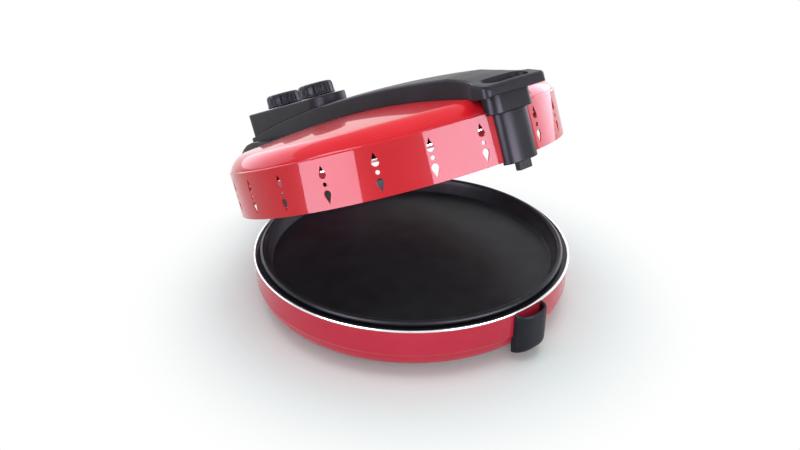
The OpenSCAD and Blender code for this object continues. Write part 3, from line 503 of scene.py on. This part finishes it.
# %% True cylinder shading on the band
WALL_FACING = 0.985
bpy.context.view_layer.objects.active = band
bpy.ops.object.modifier_apply(modifier="sheet")
mesh = band.data
mesh.set_sharp_from_angle(angle=math.radians(30))
corners = len(mesh.loops)
corner_normal, owner = np.empty(corners * 3), np.empty(corners, int)
mesh.corner_normals.foreach_get("vector", corner_normal)
mesh.loops.foreach_get("vertex_index", owner)
sizes, flat_normal = np.empty(len(mesh.polygons), int), np.empty(len(mesh.polygons) * 3)
mesh.polygons.foreach_get("loop_total", sizes)
mesh.polygons.foreach_get("normal", flat_normal)
spot = np.empty(len(mesh.vertices) * 3)
mesh.vertices.foreach_get("co", spot)
axis = np.array([0, math.sin(LID_OPEN), math.cos(LID_OPEN)])
out_way = spot.reshape(-1, 3)[owner] - open_lid([[0, 0, 0]])[0] / 1000
out_way -= (out_way @ axis)[:, None] * axis
out_way /= np.linalg.norm(out_way, axis=1, keepdims=True)
face_normal = np.repeat(flat_normal.reshape(-1, 3), sizes, 0)
lean = (face_normal * out_way).sum(1)
on_wall = abs(lean) > WALL_FACING
corner_normal = np.where(on_wall[:, None], out_way * np.sign(lean)[:, None],
                         corner_normal.reshape(-1, 3))
mesh.normals_split_custom_set(corner_normal.tolist())
print("corners on the wall:", int(on_wall.sum()), "of", corners)

# %% Dome
shoulder_r = np.concatenate([DOME_R - SHOULDER_W * np.linspace(0, 1, 30) ** 2.2, np.linspace(150, 0, 26)])
outer = np.column_stack([shoulder_r, dome_height(shoulder_r)])
outer = np.vstack([[[DOME_R - 0.9, BAND_H], [DOME_R - 0.9, BAND_H + 0.5]], outer[1:]])
inner = np.column_stack([np.clip(shoulder_r - SHEET, 0, None), dome_height(shoulder_r) - SHEET])[::-1]
inner[-1, 1] = BAND_H
dome_points, dome_faces = revolve(np.vstack([outer, inner]))
make_piece("dome", open_lid(dome_points), dome_faces, "lid", "red_enamel", FINISH["red_enamel"],
           ["lid_dome"], crisp=50)


# %% [markdown]
# ## Strap
# The strap is a long moulding with soft edges that sits down over the dome. A cross-section is carried
# along its length: flat on top with rounded corners, straight sides, and an underside that follows the
# dome. Its half width and height change with the station, which gives the flare of the grip plate. A
# fingertip hollow is pressed into the plate by lowering the top surface inside a long oval.

# %% Strap
FLARE_Y, FLARE_LEN, PLATE_BACK_Y = -140, 32, -172
FINGER_Y, FINGER_HALF, FINGER_R, FINGER_FLOOR, FINGER_SIDE = -177, 17, 9.3, 61.2, 1.4


def strap_half_width(y):
    """Plan of the strap: parallel, then a concave quarter-ellipse flare out to the plate."""
    y = np.asarray(y, float)
    t = np.clip((FLARE_Y - y) / FLARE_LEN, 0, 1)
    flare = PLATE_HW - (PLATE_HW - STRAP_HW) * np.sqrt(1 - t ** 2)
    return np.where(y < PLATE_BACK_Y, PLATE_HW, flare)


def end_cut(y, end, radius, way):
    """How far a rounded end of the given radius pulls the outline in, at a distance from the end."""
    gap = np.clip(1 - (way * (np.asarray(y, float) - end)) / radius, 0, 1)
    return radius * (1 - np.sqrt(1 - gap ** 2))


ys = np.concatenate([STRAP_END - 6 * np.linspace(0, 1, 9) ** 2, np.linspace(253, -136, 98),
                     np.linspace(-139, -166, 20), np.linspace(-167, -187.4, 34),
                     PLATE_Y + 3.4 * np.linspace(1, 0, 9)[1:] ** 2])
across = np.linspace(-1, 1, 81)
rows = []
for y in ys:
    side_r = np.interp(y, [70, 84], [2.6, 1.0])
    w = strap_half_width(y) - end_cut(y, PLATE_Y, 6, 1) - end_cut(y, STRAP_END, 5, -1)
    lift = end_cut(y, PLATE_Y, 3.2, 1) + end_cut(y, STRAP_END, 3.2, -1)
    zt = strap_top(y) - lift
    t = np.radians(np.linspace(90, 0, 7))[1:]
    x_top = across * (w - side_r)
    z_top = zt - 0.5 * across ** 2
    oval = np.hypot(np.clip(abs(x_top) - FINGER_HALF, 0, None), y - FINGER_Y)
    z_top = z_top + (FINGER_FLOOR - z_top) * np.clip((FINGER_R - oval) / FINGER_SIDE, 0, 1) ** 0.8
    corner_x, corner_z = w - side_r + side_r * np.cos(t), zt - 0.5 - side_r * (1 - np.sin(t))
    x_low = np.linspace(1, -1, 15) * w
    r_low = np.hypot(x_low, y)
    skirt = np.interp(y, [-154, -146], [PLATE_LOW, SKIRT_Z])
    low = np.where(r_low > DOME_R, skirt, np.maximum(skirt, dome_height(np.minimum(r_low, DOME_R)) + 0.3))
    if y < -168:
        low = np.full_like(x_low, PLATE_LOW + 0.4 * lift)
    x = np.concatenate([x_top, corner_x, x_low, -corner_x[::-1]])
    z = np.concatenate([z_top, corner_z, low, corner_z[::-1]])
    rows.append(np.column_stack([x, np.full_like(x, y), z]))
grid = np.array(rows)
n = grid.shape[1]
faces = grid_faces(len(ys), n, False, True)
faces += [list(range(n))[::-1], list(range((len(ys) - 1) * n, len(ys) * n))]
make_piece("strap", open_lid(grid.reshape(-1, 3)), faces, "lid", "black_plastic",
           FINISH["black_plastic"], ["handle_beam"], crisp=38)


# %% [markdown]
# ## Posts and blocks with rounded edges
# The housing, the collar, the leg and the plug are outlines pushed along a direction. Their rims are
# softened by rings that step inwards along a quarter circle, so light catches the edge as on a moulding.

# %% Rounded block helper
def inward(outline):
    """Unit vectors that point into a closed outline which runs anticlockwise."""
    step = np.roll(outline, -1, 0) - np.roll(outline, 1, 0)
    step /= np.linalg.norm(step, axis=1, keepdims=True) + 1e-9
    return np.column_stack([-step[:, 1], step[:, 0]])


def block(outline, low, high, rim_low=0.0, rim_high=1.5, steps=6):
    """Rings of (u, v, w): the outline at heights low to high, with quarter-circle rims at both ends."""
    inn = inward(outline)
    low, high = (np.broadcast_to(np.asarray(h, float), len(outline)) for h in (low, high))
    rings = []
    for k in np.linspace(90, 0, steps) if rim_low else [0]:
        t = math.radians(k)
        rings.append((outline + inn * rim_low * (1 - math.cos(t)), low + rim_low * (1 - math.sin(t))))
    for k in np.linspace(0, 90, steps) if rim_high else [0]:
        t = math.radians(k)
        rings.append((outline + inn * rim_high * (1 - math.cos(t)), high - rim_high * (1 - math.sin(t))))
    points = np.vstack([np.column_stack([ring, height]) for ring, height in rings])
    n = len(outline)
    faces = grid_faces(len(rings), n, False, True)
    faces += [list(range(n))[::-1], list(range((len(rings) - 1) * n, len(rings) * n))]
    return points, faces


def rounded(corners, radius, steps=8):
    """Closed outline through corners given anticlockwise, each one cut by a curve of its own radius."""
    corners = np.asarray(corners, float)
    radius = np.broadcast_to(radius, len(corners))
    out = []
    for k, here in enumerate(corners):
        to_last, to_next = corners[k - 1] - here, corners[(k + 1) % len(corners)] - here
        cut = min(radius[k], 0.49 * np.linalg.norm(to_last), 0.49 * np.linalg.norm(to_next))
        start = here + to_last / np.linalg.norm(to_last) * cut
        end = here + to_next / np.linalg.norm(to_next) * cut
        t = np.linspace(0, 1, steps)[:, None]
        out.append((1 - t) ** 2 * start + 2 * t * (1 - t) * here + t ** 2 * end)
    return np.vstack(out)


def lid_block(name, shape, slot, node):
    """Makes a piece of the lid from the points and faces of a block worked out with the lid closed."""
    points, faces = shape
    return make_piece(name, open_lid(points), faces, "lid", slot, FINISH[slot], [node])


print("a rounded square has", len(rounded([[0, 0], [4, 0], [4, 4], [0, 4]], 1)), "points")

# %% Control housing
t = np.radians(np.linspace(180, 360, 60))
front_arc = np.column_stack([HOUSING_HW * np.cos(t), HOUSING_FRONT_Y + HOUSING_HW * np.sin(t)])
rear = rounded([[HOUSING_HW, 180], [HOUSING_HW, HOUSING_END], [-HOUSING_HW, HOUSING_END],
                [-HOUSING_HW, 180]], [0.5, 9, 9, 0.5])[8:-8]
sides = np.linspace(HOUSING_FRONT_Y, 246, 22)[1:-1]
plan = np.vstack([front_arc, np.column_stack([0 * sides + HOUSING_HW, sides]), rear,
                  np.column_stack([0 * sides - HOUSING_HW, sides[::-1]])])
housing = block(plan, strap_top(plan[:, 1]) - 0.2, HOUSING_Z, 0.5, 1.8)
lid_block("housing", housing, "black_plastic", "control_housing")


# %% [markdown]
# ## Dials
# A dial is turned like a pot, but its radius also depends on the angle: fourteen broad lobes with narrow
# grooves between them. The grooves fade out at the foot ring and over the top edge, and the top is dished.

# %% Dials
LOBES, DIAL_STEPS, DIAL_Z = 14, 336, 98.7
GROOVE_DEPTH, GROOVE_WIDTH = 1.7, 0.11


def dial(name, y, body, node):
    """r(a, s) is the outline radius at step s, less a narrow bell-shaped groove at each lobe joint."""
    foot = [[0, 0], [20, 0], [21.1, 0.4], [21.4, 1.0], [21.4, 2.0], [21.1, 2.6]]
    side = [[21.0, 4], [20.9, 8], [20.7, 11.4]]
    top_edge = [[20.2, 13.0], [19.3, 14.1], [17.9, 14.9], [16.2, 15.3], [13.7, 15.5]]
    dish = [[13.0, 14.9], [8, 14.75], [0, 14.7]]
    line = np.vstack([foot, side, top_edge, dish])
    depth = np.array([0, 0, 0, 0, 0, 0.6, 1, 1, 1, 0.95, 0.7, 0.4, 0.12, 0, 0, 0, 0])
    a = np.linspace(0, 2 * math.pi, DIAL_STEPS, endpoint=False)[:, None]
    phase = (a * LOBES / (2 * math.pi)) % 1 - 0.5
    groove = (GROOVE_DEPTH * np.exp(-(phase / GROOVE_WIDTH) ** 2)
              + 0.25 * (1 - np.cos(2 * math.pi * phase)) * 0.5)
    r = line[None, :, 0] - groove * depth[None, :]
    z = np.broadcast_to(line[None, :, 1], r.shape) + DIAL_Z
    points = np.stack([r * np.sin(a), y - r * np.cos(a), z], -1).reshape(-1, 3)
    make_piece(name, open_lid(points), grid_faces(DIAL_STEPS, len(line), True), body, "dial_black",
               FINISH["dial_black"], [node], crisp=45)


dial("timer_dial_cap", 197, "timer_dial", "timer_knob")
dial("temperature_dial_cap", 120, "temperature_dial", "temperature_knob")

# %% [markdown]
# ## Front of the lid
# A block under the grip plate carries the D-shaped leg. The leg's outline is a superellipse, rounder than
# a box and fuller than a circle. A ribbed plug sticks out below it.


# %% Collar, leg and plug
LEG_HW, LEG_BACK, LEG_FRONT, LEG_LOW, LEG_TOP = 19.5, -171.2, -183.5, -2.9, 42.6
COLLAR_HW, COLLAR_BACK, COLLAR_FRONT, COLLAR_LOW, COLLAR_TOP = 26, -168.4, -183.5, 42.7, 59.2
PLUG_HW, PLUG_BACK, PLUG_FRONT, PLUG_LOW, PLUG_TOP = 8, -173.6, -178.3, -10.9, 0.4
RIB_DEPTH, RIB_PITCH = 0.35, 3.1


def d_outline(hw, back, front, power=0.72, count=60):
    """Front half of a superellipse, closed by a straight back line just outside the band."""
    t = np.radians(np.linspace(180, 360, count))
    x = hw * np.sign(np.cos(t)) * abs(np.cos(t)) ** power
    y = back + (front - back) * abs(np.sin(t)) ** power
    return np.column_stack([x, y])


leg_plan = np.vstack([d_outline(LEG_HW, LEG_BACK, LEG_FRONT), [[12, -173.9], [0, -174.0], [-12, -173.9]]])
lid_block("leg", block(leg_plan, LEG_LOW, LEG_TOP, 1.2, 0.5), "black_plastic", "front_leg")

collar_plan = rounded([[-COLLAR_HW, COLLAR_BACK], [-COLLAR_HW, -178], [-20, COLLAR_FRONT],
                       [20, COLLAR_FRONT], [COLLAR_HW, -178], [COLLAR_HW, COLLAR_BACK]],
                      [1, 4, 4, 4, 4, 1])
collar = block(collar_plan, COLLAR_LOW, COLLAR_TOP, 1.0, 0.4)
lid_block("collar", collar, "black_plastic", "handle_collar")

rib = np.linspace(-PLUG_HW, PLUG_HW, 80)
front_wave = PLUG_FRONT + RIB_DEPTH * np.cos(rib * 2 * math.pi / RIB_PITCH)
plug_plan = np.vstack([np.column_stack([rib, front_wave]), [[PLUG_HW, PLUG_BACK], [-PLUG_HW, PLUG_BACK]]])
lid_block("plug", block(plug_plan, PLUG_LOW, PLUG_TOP, 0.8, 0), "plug_grey", "latch_plug")

# %% [markdown]
# ## Hinge arm and bracket
# Both are ribbed mouldings with bores and pockets that must keep their fit on the pin. So each one starts
# from a copy of its solid: the loose triangles are merged, flat areas become single faces, and a narrow
# rounding runs along every edge sharper than 40 degrees, as a mould leaves it.


# %% Hinge arm and bracket
def softened(node, name, body, slot, width):
    """Copy of a solid's surface with merged points, joined flat faces and edges rounded by a width in mm."""
    solid = frame["nodes"][node]
    mesh = solid.data.copy()
    mesh.transform(solid.matrix_world)
    mesh.materials.clear()
    mesh.materials.append(FINISH[slot])
    piece = bpy.data.objects.new(name, mesh)
    bpy.context.scene.collection.objects.link(piece)
    bpy.ops.object.select_all(action="DESELECT")
    bpy.context.view_layer.objects.active = piece
    piece.select_set(True)
    bpy.ops.object.mode_set(mode="EDIT")
    bpy.ops.mesh.select_all(action="SELECT")
    bpy.ops.mesh.remove_doubles(threshold=2e-6)
    bpy.ops.mesh.dissolve_limited(angle_limit=math.radians(1))
    bpy.ops.object.mode_set(mode="OBJECT")
    mesh.shade_smooth()
    edges = piece.modifiers.new("edges", "BEVEL")
    edges.width, edges.segments, edges.limit_method = width / 1000, 3, "ANGLE"
    edges.angle_limit, edges.harden_normals = math.radians(40), True
    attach(piece, body)
    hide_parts(node)
    print(name, "faces", len(mesh.polygons))
    return piece


softened("hinge_arm", "arm", "lid", "black_plastic", 0.8)
softened("hinge_bracket", "bracket", "base", "black_plastic", 0.6)

# %% [markdown]
# ## Cup on the base
# The cup is an open pocket on the front of the base. One sheet makes it: the profile starts under the
# outer wall, climbs it, turns over the rim and goes down inside to the pocket's floor, while the other
# direction runs round the D-shaped plan.

# %% Cup
CUP_HW, CUP_FRONT, CUP_STEPS, LIP_R = 20, -182.5, 61, 1.3


def cup_ring(hw, front, z):
    """The D plan at one height, from the left side of the base wall round to the right."""
    t = np.radians(np.linspace(180, 360, CUP_STEPS))
    x = hw * np.sign(np.cos(t)) * abs(np.cos(t)) ** 0.72
    y = -(BASE_R - 3) + (front + BASE_R - 3) * abs(np.sin(t)) ** 0.72
    return np.column_stack([x, y, np.full_like(x, z)])


rings = [cup_ring(19.0, -172.3, 8.2)]
for k in np.linspace(90, 0, 10):
    s = math.radians(k)
    rings.append(cup_ring(CUP_HW - 1.0 * math.sin(s), CUP_FRONT + 10 * (1 - math.cos(s)),
                          17 - 8.8 * math.sin(s)))
rings += [cup_ring(CUP_HW, CUP_FRONT, z) for z in (24, 34, 44, 50.6)]
for k in np.linspace(20, 160, 6):
    s = math.radians(k)
    inset = LIP_R * (1 - math.cos(s))
    rings.append(cup_ring(CUP_HW - inset, CUP_FRONT + inset, 50.9 + LIP_R * math.sin(s)))
rings += [cup_ring(17.4, -179.9, z) for z in (50, 42, 35)]
rings += [cup_ring(16.4, -178.9, 34), cup_ring(1, -172, 34)]
make_piece("cup", np.vstack(rings), grid_faces(len(rings), CUP_STEPS), "base", "black_plastic",
           FINISH["black_plastic"], ["front_cup"], crisp=50)

# %% [markdown]
# ## Floor and light
# A white floor catches the soft shadow. Away from the object it turns into a plain white backdrop for the
# rays that see it: its own lit colour fades out as a glow comes in, so the edge never shows. Two lamps
# give the plain level. Four panels stand round the cooker and show only in glossy surfaces, as the pale
# upright bars that a studio leaves on a shiny band.

# %% Floor
FLOOR_HALF, NEAR_R, FAR_R, NEAR_GLOW, FAR_GLOW = 6, 0.185, 0.32, 0.1, 1.0
# The floor's lit colour is a cool off-white: its blue-green lean paints out the red light that the cooker
# bounces onto the floor near it.
FLOOR_TONE_AGAINST_RED_BOUNCE = (0.68, 0.75, 0.75)
VECTOR_TO_MIN, VECTOR_TO_MAX = 9, 10  # the sockets that a Map Range uses for a vector's To Min and To Max
floor_mesh = bpy.data.meshes.new("floor")
floor_mesh.from_pydata([(x * FLOOR_HALF, y * FLOOR_HALF, 0) for x, y in ((-1, -1), (1, -1), (1, 1), (-1, 1))],
                       [], [(0, 1, 2, 3)])
floor = bpy.data.objects.new("floor", floor_mesh)
bpy.context.scene.collection.objects.link(floor)
floor_finish, floor_shader = new_finish("floor_white", (0.75, 0.75, 0.75), specular=0.0)
set_inputs(floor_shader, Roughness=0.8, Emission_Strength=1.0)
floor_mesh.materials.append(floor_finish)


def seen_rays(tree):
    """1 for the rays that show a background: from the camera, off a glossy surface or through glass."""
    path, total = tree.nodes.new("ShaderNodeLightPath"), None
    for label in ("Is Camera Ray", "Is Glossy Ray", "Is Transmission Ray"):
        if total is None:
            total = path.outputs[label]
            continue
        larger = tree.nodes.new("ShaderNodeMath")
        larger.operation = "MAXIMUM"
        tree.links.new(total, larger.inputs[0])
        tree.links.new(path.outputs[label], larger.inputs[1])
        total = larger.outputs["Value"]
    return total


fn, fl = floor_finish.node_tree.nodes, floor_finish.node_tree.links.new
place, length = fn.new("ShaderNodeTexCoord"), fn.new("ShaderNodeVectorMath")
length.operation = "LENGTH"
fl(place.outputs["Object"], length.inputs[0])
far = fn.new("ShaderNodeMapRange")
far.interpolation_type = "SMOOTHSTEP"
set_inputs(far, From_Min=NEAR_R, From_Max=FAR_R)
fl(length.outputs["Value"], far.inputs["Value"])
glow = fn.new("ShaderNodeMapRange")
set_inputs(glow, To_Min=NEAR_GLOW, To_Max=FAR_GLOW)
fl(far.outputs["Result"], glow.inputs["Value"])
shown = fn.new("ShaderNodeMath")
shown.operation = "MULTIPLY"
fl(glow.outputs["Result"], shown.inputs[0])
rays = seen_rays(floor_finish.node_tree)
fl(rays, shown.inputs[1])
fl(shown.outputs["Value"], floor_shader.inputs["Emission Color"])
faded, kept = fn.new("ShaderNodeMath"), fn.new("ShaderNodeMapRange")
faded.operation = "MULTIPLY"
fl(far.outputs["Result"], faded.inputs[0])
fl(rays, faded.inputs[1])
kept.data_type = "FLOAT_VECTOR"
# Near the object the floor takes the cool tone that paints out the red bounce light.
kept.inputs[VECTOR_TO_MIN].default_value, kept.inputs[VECTOR_TO_MAX].default_value = FLOOR_TONE_AGAINST_RED_BOUNCE, (0, 0, 0)
fl(faded.outputs["Value"], kept.inputs["Vector"])
fl(kept.outputs["Vector"], floor_shader.inputs["Base Color"])
print("floor fades between", NEAR_R, "and", FAR_R, "m")


# %% Lamps
PANEL_TINT = (1.0, 0.88, 1.08)
SEEN_WORLD, LIGHT_WORLD = 1.0, 0.45


def lamp(name, place, aim, width, height, watts, tint=(1, 1, 1)):
    """Rectangular soft lamp at a place in metres, turned to face its aim."""
    light = bpy.data.lights.new(name, "AREA")
    light.shape, light.size, light.size_y = "RECTANGLE", width, height
    light.energy, light.color = watts, tint
    thing = bpy.data.objects.new(name, light)
    place, aim = Vector(place), Vector(aim)
    turn = (aim - place).to_track_quat("-Z", "Y").to_matrix().to_4x4()
    thing.matrix_world = Matrix.Translation(place) @ turn
    thing.visible_camera = False
    bpy.context.scene.collection.objects.link(thing)
    return thing


def panel(name, x, y, aim_x, aim_y, width, height, glow):
    """Upright bright panel that stands on the floor, shows in glossy surfaces and lights nothing else."""
    thing = lamp(name, (x, y, height / 2), (aim_x, aim_y, height / 2), width, height,
                 glow * math.pi * width * height, PANEL_TINT)
    thing.visible_diffuse = False


top = lamp("top_softbox", (0.1, 0.1, 1.7), (0, 0, 0.1), 1.6, 1.6, 21)
fill = lamp("front_fill", (-1.0, -1.6, 1.1), (0, 0, 0.1), 1.2, 1.2, 9)
top.visible_glossy = fill.visible_glossy = False
panel("left_panel", -0.61, -0.12, -0.1, -0.09, 0.36, 0.52, 13)
panel("front_panel", 0.056, -1.6, 0, 0, 1.36, 1.0, 16)
panel("right_panel", 1.6, -0.03, 0, 0, 1.6, 0.9, 3)
panel("rear_panel", -0.5, 2.0, 0, 0, 3.2, 1.4, 1.8)

world = bpy.data.worlds.new("studio")
bpy.context.scene.world = world
world.use_nodes = True
wn, wl = world.node_tree.nodes, world.node_tree.links.new
wn.clear()
out, mix = wn.new("ShaderNodeOutputWorld"), wn.new("ShaderNodeMixShader")
seen, given = wn.new("ShaderNodeBackground"), wn.new("ShaderNodeBackground")
seen.inputs["Color"].default_value = given.inputs["Color"].default_value = (1, 1, 1, 1)
set_inputs(seen, Strength=SEEN_WORLD)
set_inputs(given, Strength=LIGHT_WORLD)
wl(seen_rays(world.node_tree), mix.inputs["Fac"])
wl(given.outputs["Background"], mix.inputs[1])
wl(seen.outputs["Background"], mix.inputs[2])
wl(mix.outputs["Shader"], out.inputs["Surface"])
bpy.context.scene.view_settings.view_transform = "Standard"
